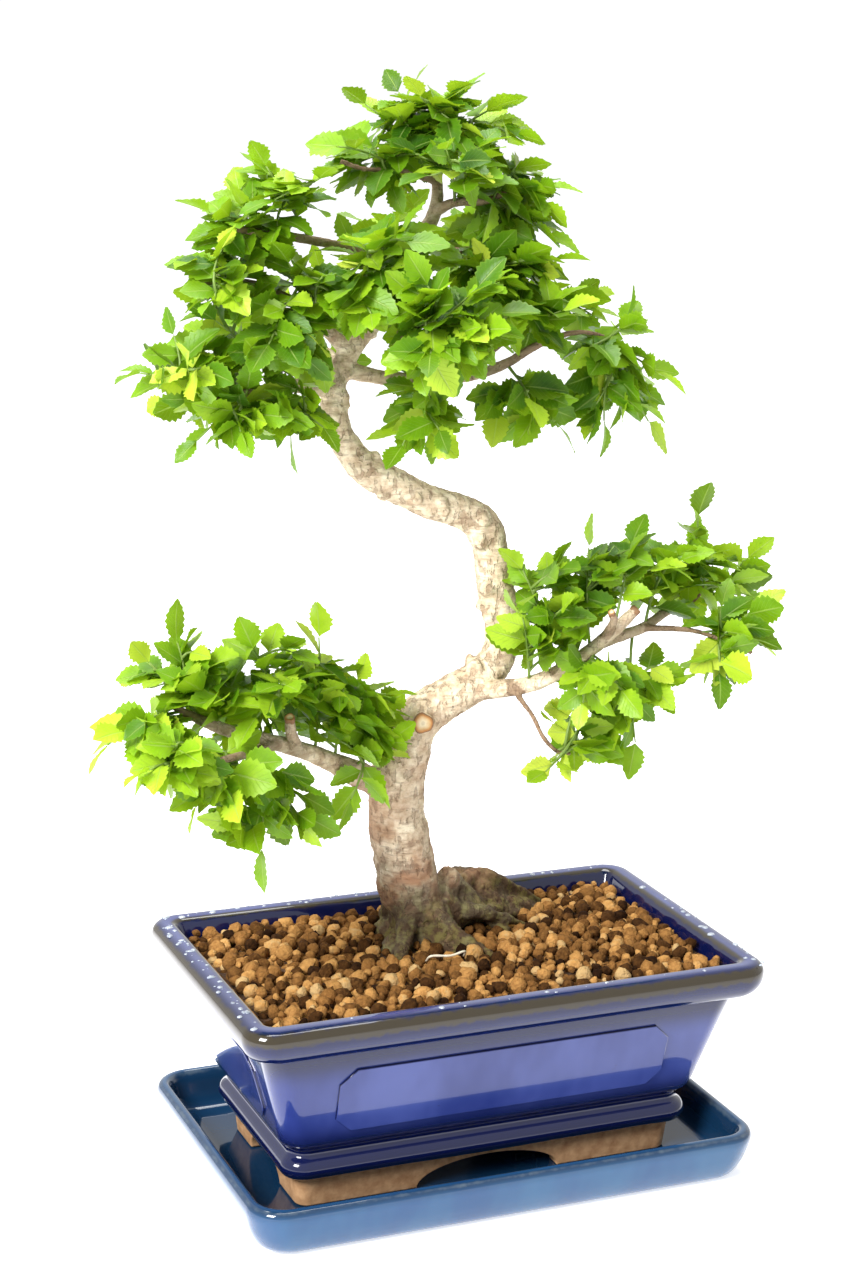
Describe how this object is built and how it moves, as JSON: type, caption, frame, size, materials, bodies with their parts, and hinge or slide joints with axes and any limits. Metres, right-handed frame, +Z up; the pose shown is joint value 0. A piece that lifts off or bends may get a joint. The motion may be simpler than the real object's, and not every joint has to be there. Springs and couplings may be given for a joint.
{
  "type": "bonsai tree in a pot",
  "caption": "Small-leaved bonsai with an S-curved trunk and leafy pads, growing in granular soil in a glazed rectangular pot with feet, on a matching drip tray.",
  "frame": {"origin": "centre of the drip tray's flat underside", "axes": "+X along the pot's long side, +Y from its front to its back, +Z up"},
  "size_m": [0.2878, 0.1533, 0.4017],
  "materials": {
    "pot_glaze": "glossy deep blue glaze over stoneware, bare clay feet",
    "tray_glaze": "glossy mid-blue glaze over stoneware",
    "soil": "loose baked-clay granules",
    "bark": "fissured grey-tan bark, moss at the base",
    "leaves": "semi-gloss leaf surface",
    "drain_mesh": "matt black plastic",
    "clip_wire": "bare drawn wire"
  },
  "bodies": {
    "root": {"drip_tray": "tray_glaze", "pot": "pot_glaze", "soil": "soil", "trunk_and_branches": "bark", "drain_mesh_left": "drain_mesh", "drain_mesh_right": "drain_mesh", "mesh_clip_left": "clip_wire", "mesh_clip_right": "clip_wire", "leaf_shoot_low_left_1": "leaves", "leaf_shoot_low_left_2": "leaves", "leaf_shoot_low_left_3": "leaves", "leaf_shoot_low_left_4": "leaves", "leaf_shoot_low_left_5": "leaves", "leaf_shoot_low_left_6": "leaves", "leaf_shoot_low_left_7": "leaves", "leaf_shoot_low_left_8": "leaves", "leaf_shoot_low_left_9": "leaves", "leaf_shoot_low_left_10": "leaves", "leaf_shoot_low_left_11": "leaves", "leaf_shoot_right_1": "leaves", "leaf_shoot_right_2": "leaves", "leaf_shoot_right_3": "leaves", "leaf_shoot_right_4": "leaves", "leaf_shoot_right_5": "leaves", "leaf_shoot_right_6": "leaves", "leaf_shoot_right_7": "leaves", "leaf_shoot_right_8": "leaves", "leaf_shoot_right_9": "leaves", "leaf_shoot_right_10": "leaves", "leaf_shoot_right_11": "leaves", "leaf_shoot_crown_left_1": "leaves", "leaf_shoot_crown_left_2": "leaves", "leaf_shoot_crown_left_3": "leaves", "leaf_shoot_crown_left_4": "leaves", "leaf_shoot_crown_left_5": "leaves", "leaf_shoot_crown_left_6": "leaves", "leaf_shoot_crown_left_7": "leaves", "leaf_shoot_crown_left_8": "leaves", "leaf_shoot_crown_left_9": "leaves", "leaf_shoot_crown_left_10": "leaves", "leaf_shoot_apex_1": "leaves", "leaf_shoot_apex_2": "leaves", "leaf_shoot_apex_3": "leaves", "leaf_shoot_apex_4": "leaves", "leaf_shoot_apex_5": "leaves", "leaf_shoot_apex_6": "leaves", "leaf_shoot_apex_7": "leaves", "leaf_shoot_middle_1": "leaves", "leaf_shoot_middle_2": "leaves", "leaf_shoot_middle_3": "leaves", "leaf_shoot_crown_right_1": "leaves", "leaf_shoot_crown_right_2": "leaves", "leaf_shoot_crown_right_3": "leaves", "leaf_shoot_crown_right_4": "leaves", "leaf_shoot_crown_right_5": "leaves", "leaf_shoot_crown_right_6": "leaves", "leaf_shoot_back_1": "leaves", "leaf_shoot_back_2": "leaves", "leaf_shoot_back_3": "leaves", "leaf_shoot_back_4": "leaves"}
  },
  "joints": []
}
